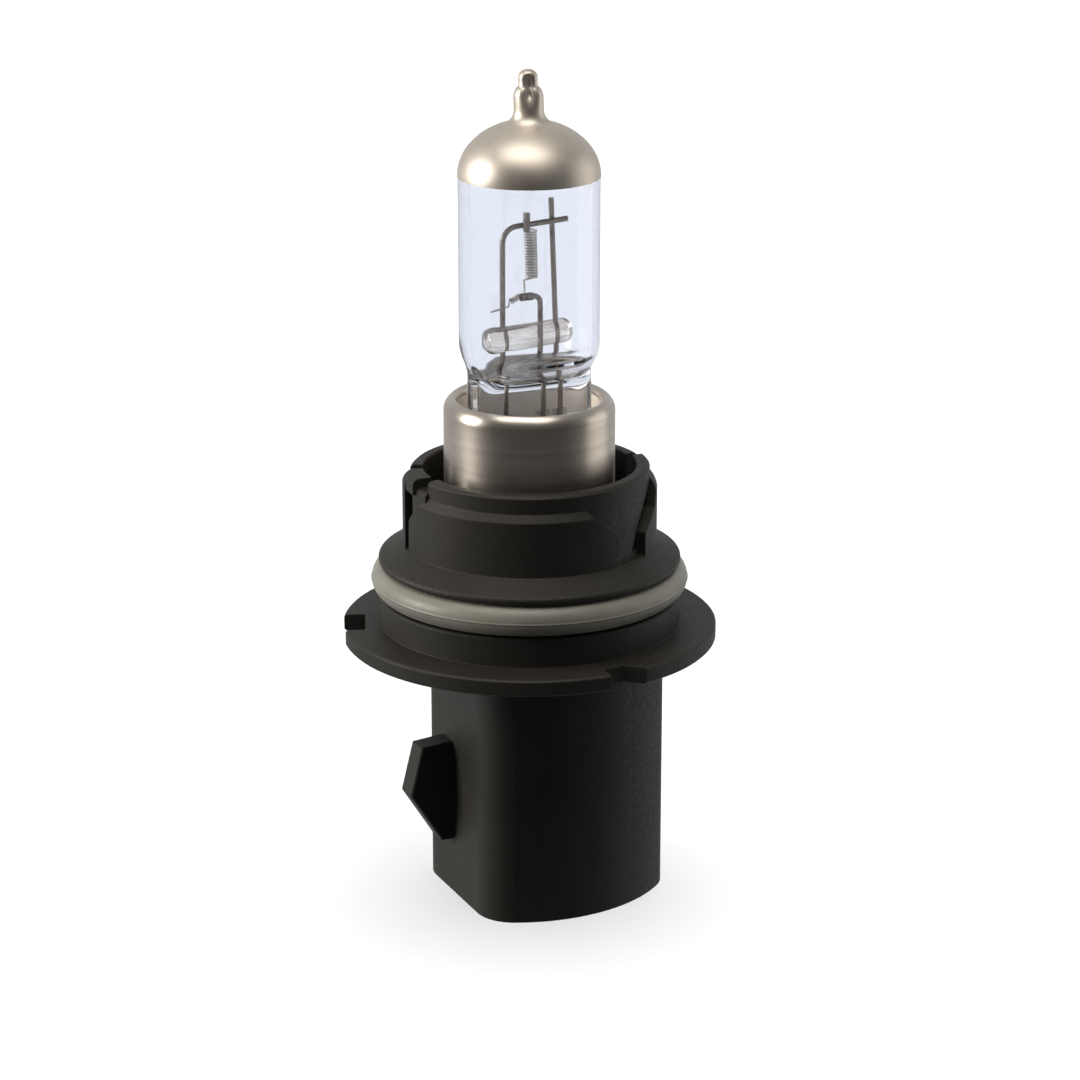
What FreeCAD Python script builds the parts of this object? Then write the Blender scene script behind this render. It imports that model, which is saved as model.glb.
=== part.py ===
"""Headlight bulb: a two-beam halogen capsule on a moulded plastic base with a sealed plug socket.

Millimetres. +Z points along the bulb's axis towards the glass tip. The origin is on that axis, at the
seating face on top of the flange. The plug's latch rib points towards -X. Each piece is one file.
"""
import FreeCAD
import Part

import math
import os

V = FreeCAD.Vector
UP = V(0, 0, 1)

# ---- driving dimensions -------------------------------------------------------------------------
GLASS_R = 7.35            # outside of the quartz capsule
GLASS_WALL = 1.1
CAPSULE_SHOULDER_Z = 30.0
DOME_Z = 48.0             # where the dome starts
DOME_HEIGHT = 5.7
COATING = 0.05

FLANGE_R = 19.9
FLANGE_THICK = 1.75
NECK_R = 16.0
NECK_TOP = 3.15
RING_SECTION = 3.4        # diameter of the sealing ring's section
DISC_TOP = 7.5
DISC_THICK = 0.85
COLLAR_R = 12.7
COLLAR_IN_R = 11.3
COLLAR_FOOT = 8.9
COLLAR_TOP = 17.3
WELL_FLOOR = 9.3          # floor inside the collar
RAMP_ANGLE = -44.0        # where the slanting groove is, degrees from +X
SLEEVE_R = 9.0
SLEEVE_TOP = 24.6
SLEEVE_FOOT = 11.5

SHROUD_END = -30.5        # mouth of the plug socket
SHROUD_WALL = 1.9
CAVITY_TOP = -3.5
CARRIER_THICK = 3.0
BLADE_WIDTH = 6.3
BLADE_THICK = 0.8
BLADE_END = -24.0

CUP_R = 8.42              # metal cup that holds the sleeve
CUP_WALL = 0.45
CUP_HOLE_R = 6.9          # opening in the cup's floor for the leads
POTTING_R = 7.7
POTTING_TOP = 3.6

WIRE_R = 0.29             # support wires and leads
WIRE_FOOT = 22.0          # where the support wires end on the foils
LEAD_TOP = 17.5           # where the leads end on the foils
CROSSBAR_Z = 43.0
PINCH_FOOT = 13.5
PINCH_TOP = 26.5
PINCH_HALF_WIDTH = 6.3
PINCH_HALF_THICK = 2.1

# x of the three wires where they leave the pinch, left, middle and right
WIRE_X = {"left": -3.0, "middle": 1.25, "right": 3.2}
# x, y of the three blades, and whether the blade's width runs along X
BLADES = {
    "left": (1.0, -5.5, True),
    "middle": (6.8, 0.0, False),
    "right": (1.0, 5.5, True),
}
FOIL_WIDTH = 1.6
FOIL_THICK = 0.1
FOIL_Z = (16.5, 23.0)

BRIDGE_Z = 31.1           # quartz rod across the support wires
BRIDGE_R = 1.42
BRIDGE_HALF = 5.3
BRIDGE_TURN = 8.0         # degrees from the X axis, seen from above
FRONT_SIDE = (-0.418, -0.909)   # direction from the axis in which the middle wire bows

POST_R = 0.36
UPPER_CLAMP = (-0.72, -0.96)
BARREL_R = 0.42           # crimp barrel at the end of the middle wire's hook
BARREL_X = (-1.0, 0.35)
BARREL_Z = 35.3
COIL_R = 0.58
COIL_WIRE_R = 0.1
COIL_TOP = (0.02, -0.23, 42.25)
COIL_FOOT = (0.16, -0.25, 37.35)
SMALL_COIL_R = 0.25


# ---- helpers --------------------------------------------------------------------------------------
def outline(start, *steps):
    """Closed face in the XZ plane. A step is an end point, or (middle, end) for an arc."""
    edges = []
    here = start
    for step in steps + (start,):
        arc = isinstance(step[0], tuple)
        end = step[1] if arc else step
        first, last = V(here[0], 0, here[1]), V(end[0], 0, end[1])
        if arc:
            edges.append(Part.Arc(first, V(step[0][0], 0, step[0][1]), last).toShape())
        elif (last - first).Length > 1e-6:
            edges.append(Part.LineSegment(first, last).toShape())
        here = end
    return Part.Face(Part.Wire(edges))


def turned(face, start=0.0, end=360.0):
    """Revolve a face round the bulb's axis from one angle to another, degrees from +X."""
    placed = face.copy()
    placed.rotate(V(0, 0, 0), UP, start)
    return placed.revolve(V(0, 0, 0), UP, end - start)


def block(low, high):
    size = [high[i] - low[i] for i in range(3)]
    return Part.makeBox(size[0], size[1], size[2], V(*low))


def rod(start, end, radius):
    start, end = V(*start), V(*end)
    return Part.makeCylinder(radius, (end - start).Length, start, end - start)


def wire(points, radius):
    """Round wire along straight runs, with round corners."""
    body = rod(points[0], points[1], radius)
    for here, there in zip(points[1:], points[2:]):
        body = body.fuse(Part.makeSphere(radius, V(*here)))
        body = body.fuse(rod(here, there, radius))
    return body.removeSplitter()


def cap_to_axis(radius, z, apex):
    """Arc step of a sphere centred on the axis, from (radius, z) to the apex."""
    height = apex - z
    ball_r = (radius ** 2 + height ** 2) / (2 * height)
    centre_z = apex - ball_r
    half = math.asin(radius / abs(ball_r)) / 2
    return ((abs(ball_r) * math.sin(half), centre_z + ball_r * math.cos(half)), (0, apex))


def bend(centre, radius, start, end, steps, y=0.0):
    """Points along an arc in a plane of constant y, angles in degrees from +X towards +Z."""
    angles = [math.radians(start + (end - start) * i / steps) for i in range(steps + 1)]
    return [(centre[0] + radius * math.cos(a), y, centre[1] + radius * math.sin(a)) for a in angles]


def wall_panel(angle, corners, near, far):
    """Prism across the collar wall, round at the back: corners are (along the wall, z) at the angle."""
    points = [V(near - 3, along, z) for along, z in corners]
    face = Part.Face(Part.makePolygon(points + points[:1]))
    panel = face.extrude(V(far - near + 3, 0, 0)).cut(Part.makeCylinder(near, 30))
    panel.rotate(V(0, 0, 0), UP, angle)
    return panel


def coil(start, end, radius, turns, wire_radius):
    """Helical filament round the line between two points, and the two ends of its wire."""
    start, end = V(*start), V(*end)
    length = (end - start).Length
    helix = Part.makeHelix(length / turns, length, radius)
    section = Part.Wire(Part.makeCircle(wire_radius, V(radius, 0, 0), V(0, 1, 0)))
    body = Part.Wire(helix).makePipeShell([section], True, True)
    place = FreeCAD.Placement(start, FreeCAD.Rotation(UP, end - start))
    body.Placement = place
    ends = [place.multVec(V(radius, 0, z)) for z in (0, length)]
    body = body.fuse([Part.makeSphere(wire_radius * 1.02, point) for point in ends])
    return body, tuple(ends[0]), tuple(ends[1])


# ---- base housing -----------------------------------------------------------------------------------
def shroud_section(inset, z):
    """The plug socket's section: flat towards the latch, crowned on both broad sides, round opposite."""
    flat_x, half_depth, crown_r, crown_x = -8.75, 11.2, 17.0, 0.9
    round_x, round_r, corner_r = 14.45, 13.0, 4.35
    shrink = inset + corner_r
    crown_y = crown_r - half_depth
    core = Part.Face(Part.Wire(Part.makeCircle(round_r - shrink, V(round_x - round_r, 0, z))))
    for side in (1, -1):
        crown = Part.Face(Part.Wire(Part.makeCircle(crown_r - shrink, V(crown_x, -side * crown_y, z))))
        core = core.common(crown)
    room = Part.makePlane(40, 60, V(flat_x + shrink, -30, z))
    return core.common(room).Faces[0].makeOffset2D(corner_r)


def shroud_prism(inset, bottom, top):
    return Part.Face(shroud_section(inset, bottom).OuterWire).extrude(V(0, 0, top - bottom))


def base_profile():
    """Flange, sealing neck, ring groove and disc, turned about the axis."""
    edge = 0.2
    groove_r = NECK_R + 0.85 - RING_SECTION - 0.03
    disc_foot = DISC_TOP - DISC_THICK
    return outline(
        (0, -FLANGE_THICK),
        (FLANGE_R - edge, -FLANGE_THICK),
        (FLANGE_R, -FLANGE_THICK + edge),
        (FLANGE_R, -edge),
        (FLANGE_R - edge, 0),
        (NECK_R, 0),
        (NECK_R, NECK_TOP - edge),
        (NECK_R - edge, NECK_TOP),
        (groove_r, NECK_TOP),
        (groove_r, disc_foot),
        (NECK_R - edge, disc_foot),
        ((NECK_R + 0.04, disc_foot + DISC_THICK / 2), (NECK_R - edge, DISC_TOP)),
        (COLLAR_R + 0.5, COLLAR_FOOT),
        (COLLAR_IN_R - 1.0, WELL_FLOOR),
        (0, WELL_FLOOR),
    )


def collar_segment(start, end, outer, top):
    crest = 0.3
    return turned(
        outline(
            (COLLAR_IN_R, COLLAR_FOOT - 0.8),
            (outer, COLLAR_FOOT - 0.8),
            (outer, top - crest),
            (outer - crest, top),
            (COLLAR_IN_R + 0.15, top),
            (COLLAR_IN_R, top - 0.15),
        ),
        start,
        end,
    )


def front_pad():
    """Raised locating pad on the collar, with a sloping top and chamfered ends."""
    pad_r, top = COLLAR_R + 0.62, 14.6
    pad = turned(
        outline(
            (COLLAR_IN_R, COLLAR_FOOT - 0.8),
            (pad_r + 0.08, COLLAR_FOOT - 0.8),
            (pad_r, top),
            (COLLAR_R, top + 0.8),
            (COLLAR_IN_R, top + 0.8),
        ),
        -185.5,
        -69.7,
    )
    left_end = [(-1.3, 12.3), (-4.0, 12.3), (-4.0, 17.0), (3.2, 17.0), (1.0, 14.5)]
    right_end = [(1.72, 12.1), (4.0, 12.1), (4.0, 17.0), (-3.4, 17.0), (-1.72, 14.6)]
    for angle, corners in ((-179.5, left_end), (-77.0, right_end)):
        pad = pad.cut(wall_panel(angle, corners, COLLAR_R, COLLAR_R + 2.3))
    return pad


def left_lug():
    """Latching lug on the flat side: a leg, a bridging head and a low block beside the slot."""
    lug_r, head_foot = COLLAR_R + 0.8, 15.4
    leg = turned(
        outline(
            (COLLAR_IN_R, COLLAR_FOOT - 0.8),
            (lug_r, COLLAR_FOOT - 0.8),
            (lug_r, 15.6),
            ((lug_r - 0.3, 16.6), (COLLAR_R - 0.2, 17.1)),
            (COLLAR_IN_R, 17.1),
        ),
        163.5,
        170.3,
    )
    head = turned(
        outline(
            (COLLAR_IN_R, head_foot),
            (lug_r - 0.1, head_foot),
            (lug_r - 0.1, 16.5),
            ((lug_r - 0.35, 16.9), (COLLAR_R, 17.1)),
            (COLLAR_IN_R, 17.1),
        ),
        170.3,
        180.8,
    )
    behind_groove = turned(
        outline(
            (COLLAR_IN_R, COLLAR_FOOT - 0.8),
            (COLLAR_R - 0.4, COLLAR_FOOT - 0.8),
            (COLLAR_R - 0.4, head_foot),
            (COLLAR_IN_R, head_foot),
        ),
        170.3,
        176.3,
    )
    low_block = collar_segment(176.3, 189.9, COLLAR_R + 0.35, 16.05)
    return leg.fuse([head, behind_groove, low_block])


def right_lug():
    """Lug with a slanted ramp at its front edge."""
    lug_r = COLLAR_R + 0.8
    lug = turned(
        outline(
            (COLLAR_IN_R, COLLAR_FOOT - 0.8),
            (lug_r, COLLAR_FOOT - 0.8),
            (lug_r, 14.8),
            ((lug_r - 0.3, 15.6), (COLLAR_R, 16.1)),
            (COLLAR_IN_R, 16.1),
        ),
        -50.9,
        -9.7,
    )
    corners = [(-1.9, 11.35), (1.5, 13.3), (2.9, 16.5), (-3.5, 16.5), (-3.5, 11.35)]
    return lug.cut(wall_panel(RAMP_ANGLE, corners, COLLAR_R, COLLAR_R + 2.3))


def ramp_groove():
    """Slanting groove in the collar wall in front of the right lug."""
    front = [(2.4, 15.6), (1.4, 15.2), (0.0, 14.3), (-1.6, 12.4), (-2.9, 9.6)]
    back = [(-1.6, 9.6), (-1.6, 11.35), (1.5, 13.3)]
    return wall_panel(RAMP_ANGLE, front + back, COLLAR_R - 0.6, COLLAR_R + 2.3)


def back_lug():
    """Third lug, opposite the pad."""
    lug_r = COLLAR_R + 0.8
    section = outline(
        (COLLAR_IN_R, COLLAR_FOOT - 0.8),
        (lug_r, COLLAR_FOOT - 0.8),
        (lug_r, 14.8),
        ((lug_r - 0.3, 15.6), (COLLAR_R, 16.1)),
        (COLLAR_IN_R, 16.1),
    )
    return turned(section, 62.0, 98.0)


def latch_rib():
    """Ramp and hook that the plug's locking lever snaps over."""
    near_y, far_y = 0.6, 3.4
    corners = [(-8.0, -13.0), (-8.97, -13.0), (-12.35, -13.3), (-13.69, -18.6), (-10.1, -24.3), (-8.0, -24.3)]
    points = [V(x, near_y, z) for x, z in corners]
    rib = Part.Face(Part.makePolygon(points + points[:1])).extrude(V(0, far_y - near_y, 0))
    outer = [e for e in rib.Edges if min(v.X for v in e.Vertexes) < -10 and e.BoundBox.YLength < 1e-6]
    return rib.makeChamfer(0.18, outer)


def flange_cutouts():
    """Index notch, and the stepped recess beside the front."""
    notch_width, notch_depth, notch_angle = 5.0, 2.4, 160.2
    notch = block((FLANGE_R - notch_depth, -notch_width / 2, -3), (FLANGE_R + 2, notch_width / 2, 1))
    notch.rotate(V(0, 0, 0), UP, notch_angle)
    recess_r, start, knee, end = 17.95, -89.7, -82.0, -77.3
    corners = []
    for radius, angle in ((22, start), (recess_r, start), (recess_r, knee), (FLANGE_R + 0.1, end), (22, end)):
        corners.append(V(radius * math.cos(math.radians(angle)), radius * math.sin(math.radians(angle)), -3))
    recess = Part.Face(Part.makePolygon(corners + corners[:1])).extrude(V(0, 0, 4))
    return notch.fuse(recess)


def base_housing():
    body = turned(base_profile())
    body = body.fuse(shroud_prism(0, SHROUD_END, -FLANGE_THICK + 0.3))
    body = body.fuse([
        collar_segment(-170.2, -9.7, COLLAR_R, COLLAR_TOP),
        collar_segment(-0.7, 153.0, COLLAR_R - 0.1, COLLAR_TOP - 0.4),
        collar_segment(-12.0, 1.0, COLLAR_R, 12.0),
        collar_segment(150.0, 165.0, COLLAR_R, 15.0),
        front_pad(),
        left_lug(),
        right_lug(),
        back_lug(),
        latch_rib(),
    ])
    body = body.cut(flange_cutouts()).cut(ramp_groove())
    well = Part.makeCylinder(COLLAR_IN_R, 20, V(0, 0, WELL_FLOOR))
    cup_bore = Part.makeCylinder(CUP_R, 20, V(0, 0, POTTING_TOP))
    potting_bore = Part.makeCylinder(POTTING_R, 20, V(0, 0, CAVITY_TOP - 1))
    cavity = shroud_prism(SHROUD_WALL, SHROUD_END - 1, CAVITY_TOP)
    return body.cut([well, cup_bore, potting_bore, cavity]).removeSplitter()


def sealing_ring():
    centre = V(0, 0, (NECK_TOP + DISC_TOP - DISC_THICK) / 2)
    return Part.makeTorus(NECK_R + 0.85 - RING_SECTION / 2, RING_SECTION / 2, centre)


# ---- metal parts round the capsule's foot -------------------------------------------------------------
def focus_cup():
    """Metal cup moulded into the base. The sleeve is set on it at the right height and welded."""
    foot, top = POTTING_TOP, 17.0
    inner = CUP_R - CUP_WALL
    return turned(outline(
        (CUP_HOLE_R, foot),
        (CUP_R, foot),
        (CUP_R, top),
        (inner, top),
        (inner, foot + CUP_WALL),
        (CUP_HOLE_R, foot + CUP_WALL),
    ))


def capsule_sleeve():
    """Nickel-plated sleeve with a rolled rim."""
    inner_lip, wall = 7.55, 0.5
    roll_z = SLEEVE_TOP - 1.7
    return turned(outline(
        (SLEEVE_R - wall, SLEEVE_FOOT),
        (SLEEVE_R, SLEEVE_FOOT),
        (SLEEVE_R, roll_z),
        ((SLEEVE_R - 0.28, roll_z + 1.2), (SLEEVE_R - 0.9, SLEEVE_TOP)),
        ((inner_lip + 0.12, SLEEVE_TOP - 0.3), (inner_lip, SLEEVE_TOP - 0.75)),
        (inner_lip, 20.5),
        (inner_lip + 0.4, 20.5),
        (inner_lip + 0.4, roll_z),
        (SLEEVE_R - wall, roll_z),
    ))


def capsule_clip():
    """Sprung plate that grips the pinch: a disc with a slot and two pairs of tongues."""
    plate_z, thick, clearance = 17.2, 0.4, 0.05
    half_x, half_y = PINCH_HALF_WIDTH + clearance, PINCH_HALF_THICK + clearance
    plate = Part.makeCylinder(SLEEVE_R - 0.55, thick, V(0, 0, plate_z))
    plate = plate.cut(block((-half_x, -half_y, plate_z - 1), (half_x, half_y, plate_z + 1)))
    for side in (1, -1):
        low, high = sorted((side * half_y, side * (half_y + thick)))
        for x in (-3.6, 3.6):
            plate = plate.fuse(block((x - 1.5, low, plate_z), (x + 1.5, high, plate_z + 3.4)))
    return plate.removeSplitter()


# ---- capsule ------------------------------------------------------------------------------------------
def capsule_profile(grow):
    """Outside of the capsule from its foot to the exhaust tip, as an outline closed on the axis."""
    radius, height = GLASS_R + grow, DOME_HEIGHT + grow
    tip_r, nub_r, tip_end = 1.5 + grow, 0.95 + grow, 58.9 + grow
    mid, late = math.radians(32), math.radians(67)

    def dome(angle):
        return (radius * math.cos(angle), DOME_Z + height * math.sin(angle))

    return outline(
        (0, 24.2),
        (3.2, 24.2),
        ((5.3, 24.6), (6.32, 25.9)),
        ((6.75, 27.9), (7.15, 29.0)),
        ((GLASS_R - 0.06 + grow, 29.4), (radius, CAPSULE_SHOULDER_Z)),
        (radius, DOME_Z),
        (dome(mid / 2), dome(mid)),
        (dome((mid + late) / 2), dome(late)),
        ((tip_r + 0.3, 53.8), (tip_r, 54.8)),
        (tip_r, 56.1),
        ((tip_r - 0.2, 56.7), (nub_r, 57.2)),
        (nub_r, tip_end - 0.75),
        cap_to_axis(nub_r, tip_end - 0.75, tip_end),
    )


def cavity_profile():
    """Gas space inside the capsule."""
    radius = GLASS_R - GLASS_WALL
    height = DOME_HEIGHT - GLASS_WALL
    late = math.radians(50)

    def dome(angle):
        return (radius * math.cos(angle), DOME_Z + height * math.sin(angle))

    return outline(
        (0, 27.3),
        (4.4, 27.3),
        ((5.15, 27.6), (5.6, 28.4)),
        ((6.15, 29.6), (radius, 31.0)),
        (radius, DOME_Z),
        (dome(late / 2), dome(late)),
        cap_to_axis(*dome(late), DOME_Z + height),
    )


def pinch():
    """Flattened foot that seals the foils, with thicker rounded side edges."""
    edge_r = PINCH_HALF_THICK + 0.3
    edge_x = PINCH_HALF_WIDTH - edge_r
    body = block((-edge_x, -PINCH_HALF_THICK, PINCH_FOOT), (edge_x, PINCH_HALF_THICK, PINCH_TOP))
    for side in (1, -1):
        bead = Part.makeCylinder(edge_r, PINCH_TOP - PINCH_FOOT, V(side * edge_x, 0, PINCH_FOOT))
        body = body.fuse(bead)
    return body


def glass_envelope(sealed_in):
    body = turned(capsule_profile(0)).fuse(pinch())
    body = body.cut(turned(cavity_profile()))
    return body.cut(sealed_in).removeSplitter()


def tip_coating():
    """Satin silver coating on the dome and tip."""
    shell = turned(capsule_profile(COATING))
    above = Part.makeCylinder(20, 20, V(0, 0, DOME_Z - 0.1))
    return shell.common(above).cut(turned(capsule_profile(0)))


def bridge_rod(wires):
    """Quartz rod fused over the support wires to hold them apart."""
    straight = BRIDGE_HALF - 0.9
    shoulder = (BRIDGE_R * 0.87, straight + 0.5)
    end = (BRIDGE_R * 0.6, straight + 0.75)
    half = turned(outline(
        (0, 0),
        (BRIDGE_R, 0),
        (BRIDGE_R, straight),
        (shoulder, end),
        cap_to_axis(*end, BRIDGE_HALF),
    ))
    body = half.fuse(half.mirror(V(0, 0, 0), UP)).removeSplitter()
    body.rotate(V(0, 0, 0), V(0, 1, 0), 90)
    body.rotate(V(0, 0, 0), UP, BRIDGE_TURN)
    body.translate(V(0, 0, BRIDGE_Z))
    return body.cut(wires)


# ---- wires and filaments --------------------------------------------------------------------------------
def left_support_wire():
    x = WIRE_X["left"]
    corner = 1.7
    points = [(x, 0, WIRE_FOOT)]
    points += bend((x + corner, CROSSBAR_Z - 0.15 - corner), corner, 180, 100, 6)
    points += [(4.0, -0.85, CROSSBAR_Z + 0.35)]
    return wire(points, WIRE_R)


def right_support_wire():
    return wire([(WIRE_X["right"], 0, WIRE_FOOT), (WIRE_X["right"], 0, 28.5), (2.5, 0, 45.5)], WIRE_R)


def middle_support_wire():
    """Passes in front of the bridge rod's middle, then hooks over into the crimp barrel."""
    x = WIRE_X["middle"]
    hook, forward = 0.75, BRIDGE_R
    front = (x + FRONT_SIDE[0] * forward, FRONT_SIDE[1] * forward)
    points = [(x, 0, WIRE_FOOT), (x, 0, BRIDGE_Z - 2.7)]
    points += [front + (BRIDGE_Z - 1.5,), front + (BRIDGE_Z + 1.5,), (x, 0, BRIDGE_Z + 2.6)]
    points += bend((x - hook, BARREL_Z - hook), hook, 0, 90, 6)
    points += [(BARREL_X[0] + 0.7, 0, BARREL_Z)]
    return wire(points, WIRE_R)


def upper_filament_clamp():
    """Post welded to the crossbar. The filament's top leg is crimped in it."""
    body = rod(UPPER_CLAMP + (42.45,), UPPER_CLAMP + (44.35,), POST_R)
    return body.cut(left_support_wire())


def lower_filament_clamp():
    """Crimp barrel with two pressed grooves."""
    body = rod((BARREL_X[0], 0, BARREL_Z), (BARREL_X[1], 0, BARREL_Z), BARREL_R)
    for x in (-0.72, -0.36):
        groove = Part.makeTorus(BARREL_R + 0.03, 0.08, V(x, 0, BARREL_Z), V(1, 0, 0))
        body = body.cut(groove)
    return body


def upper_filament(clamps):
    """Axial coil with a short leg at the top and a cranked leg at the bottom."""
    body, foot, head = coil(COIL_FOOT, COIL_TOP, COIL_R, 17, COIL_WIRE_R)
    bottom = wire([
        foot,
        (foot[0] - 1.45, foot[1], foot[2] - 0.2),
        (-0.54, 0, BARREL_Z + 0.9),
        (-0.54, 0, BARREL_Z),
    ], COIL_WIRE_R)
    top = wire([
        head,
        (head[0] - 0.1, head[1] - 0.55, head[2] + 0.1),
        (UPPER_CLAMP[0] + 0.3, UPPER_CLAMP[1], head[2] + 0.45),
    ], COIL_WIRE_R)
    return body.fuse([bottom, top]).cut(clamps)


def lower_filament(clamps):
    """Small second coil beside the crimp barrel, with a leg out to the left support wire."""
    body, inner, outer = coil((-1.12, 0.0, 35.42), (-2.0, 0.15, 34.95), SMALL_COIL_R, 3.5, COIL_WIRE_R)
    inner_leg = wire([inner, (BARREL_X[0] + 0.1, 0.0, BARREL_Z)], COIL_WIRE_R)
    outer_leg = wire([outer, (-2.15, 0.42, 34.35), (-4.1, 0.42, 33.95)], COIL_WIRE_R)
    return body.fuse([inner_leg, outer_leg]).cut(clamps)


def foil(name):
    x = WIRE_X[name]
    half = FOIL_WIDTH / 2
    low = (x - half, WIRE_R, FOIL_Z[0])
    return block(low, (x + half, WIRE_R + FOIL_THICK, FOIL_Z[1]))


def outer_lead(name):
    """Lead from the foil to the blade's tail."""
    x = WIRE_X[name]
    blade_x, blade_y, along_x = BLADES[name]
    side = 1 if blade_y > 0 else -1
    tail_gap = BLADE_THICK / 2 + WIRE_R
    end = (blade_x, blade_y - side * tail_gap) if along_x else (blade_x - tail_gap, blade_y)
    return wire([(x, 0, LEAD_TOP), (x, 0, 11.5), end + (6.5,), end + (0.4,)], WIRE_R)


def blade(name):
    """Plug terminal: a wide blade with a chamfered end and a narrow tail in the potting."""
    x, y, along_x = BLADES[name]
    half, tail_half, tail_top = BLADE_WIDTH / 2, 1.0, 3.0
    corners = [
        (-half + 0.9, BLADE_END), (half - 0.9, BLADE_END), (half, BLADE_END + 1.5), (half, CAVITY_TOP - 0.8),
        (tail_half, CAVITY_TOP - 0.8), (tail_half, tail_top), (-tail_half, tail_top),
        (-tail_half, CAVITY_TOP - 0.8), (-half, CAVITY_TOP - 0.8), (-half, BLADE_END + 1.5),
    ]
    points = [V(along, -BLADE_THICK / 2, z) for along, z in corners]
    body = Part.Face(Part.makePolygon(points + points[:1])).extrude(V(0, BLADE_THICK, 0))
    if not along_x:
        body.rotate(V(0, 0, 0), UP, 90)
    body.translate(V(x, y, 0))
    return body


def terminal_carrier(blades):
    """Insulating plate at the end of the socket that locates the three blades."""
    body = shroud_prism(SHROUD_WALL + 0.05, CAVITY_TOP - CARRIER_THICK, CAVITY_TOP)
    return body.cut(blades)


def potting_plug(held):
    """Sealing compound round the blade tails and leads."""
    body = Part.makeCylinder(POTTING_R, POTTING_TOP - CAVITY_TOP, V(0, 0, CAVITY_TOP))
    return body.cut(held)


# ---- the whole bulb -----------------------------------------------------------------------------------------
def build():
    sides = ("left", "middle", "right")
    wires = {
        "left": left_support_wire(),
        "middle": middle_support_wire(),
        "right": right_support_wire(),
    }
    foils = {side: foil(side) for side in sides}
    leads = {side: outer_lead(side) for side in sides}
    blades = {side: blade(side) for side in sides}
    clamps = [upper_filament_clamp(), lower_filament_clamp().cut(wires["middle"])]
    held = list(wires.values()) + list(foils.values()) + list(leads.values())
    parts = {
        "base_housing": base_housing(),
        "sealing_ring": sealing_ring(),
        "focus_cup": focus_cup(),
        "capsule_sleeve": capsule_sleeve(),
        "capsule_clip": capsule_clip(),
        "glass_envelope": glass_envelope(held),
        "tip_coating": tip_coating(),
        "bridge_rod": bridge_rod(list(wires.values())),
        "upper_filament_clamp": clamps[0],
        "lower_filament_clamp": clamps[1],
        "upper_filament": upper_filament(clamps),
        "lower_filament": lower_filament(clamps + [wires["left"]]),
        "terminal_carrier": terminal_carrier(list(blades.values())),
        "potting_plug": potting_plug(list(blades.values()) + list(leads.values())),
        "low_beam_blade": blades["left"],
        "common_blade": blades["middle"],
        "high_beam_blade": blades["right"],
    }
    for side in sides:
        parts[side + "_support_wire"] = wires[side]
        parts[side + "_foil"] = foils[side]
        parts[side + "_lead"] = leads[side]
    return parts


os.makedirs("parts", exist_ok=True)
for name, shape in build().items():
    if len(shape.Solids) == 1:
        shape = shape.Solids[0]
    print(f"{name:22s} solids {len(shape.Solids)}  volume {shape.Volume:9.2f}  valid {shape.isValid()}")
    shape.exportStep(f"parts/{name}.step")
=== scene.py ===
"""Headlight bulb: the looks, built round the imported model.

Metres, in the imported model's frame: +Z along the bulb's axis to the glass tip, origin at the flange's
seating face, the plug's latch rib towards -X. Sizes are written as millimetres times MM.
"""

import math

import bmesh
import bpy
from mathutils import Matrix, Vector

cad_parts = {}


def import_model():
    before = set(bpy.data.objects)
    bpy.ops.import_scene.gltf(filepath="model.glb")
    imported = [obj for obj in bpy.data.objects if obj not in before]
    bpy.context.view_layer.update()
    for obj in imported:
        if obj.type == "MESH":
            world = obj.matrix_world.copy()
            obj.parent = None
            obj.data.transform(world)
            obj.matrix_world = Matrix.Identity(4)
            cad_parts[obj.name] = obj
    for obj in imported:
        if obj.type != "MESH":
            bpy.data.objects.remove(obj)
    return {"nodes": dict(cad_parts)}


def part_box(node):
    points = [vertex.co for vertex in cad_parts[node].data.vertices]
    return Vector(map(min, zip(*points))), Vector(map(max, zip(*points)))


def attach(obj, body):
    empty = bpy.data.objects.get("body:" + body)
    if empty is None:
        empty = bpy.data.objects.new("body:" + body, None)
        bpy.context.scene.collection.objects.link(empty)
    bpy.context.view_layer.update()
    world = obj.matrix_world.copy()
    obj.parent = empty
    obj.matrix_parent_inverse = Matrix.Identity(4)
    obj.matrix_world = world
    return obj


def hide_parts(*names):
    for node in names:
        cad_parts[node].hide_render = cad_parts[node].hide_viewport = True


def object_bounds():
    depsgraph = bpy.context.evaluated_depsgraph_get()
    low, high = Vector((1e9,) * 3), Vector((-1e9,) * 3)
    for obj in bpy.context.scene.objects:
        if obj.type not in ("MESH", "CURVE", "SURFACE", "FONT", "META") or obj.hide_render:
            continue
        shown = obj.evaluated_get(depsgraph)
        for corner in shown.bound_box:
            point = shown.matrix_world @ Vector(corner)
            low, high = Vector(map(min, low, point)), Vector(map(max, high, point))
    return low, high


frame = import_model()
cad_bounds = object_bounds()

MM = 0.001
LOW, HIGH = cad_bounds
HEIGHT = HIGH.z - LOW.z

GLASS_LOW, GLASS_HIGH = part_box("glass_envelope")
COAT_LOW, COAT_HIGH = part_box("tip_coating")
SLEEVE_LOW, SLEEVE_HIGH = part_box("capsule_sleeve")
RING_LOW, RING_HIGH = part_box("sealing_ring")
BRIDGE_LOW, BRIDGE_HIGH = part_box("bridge_rod")

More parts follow.
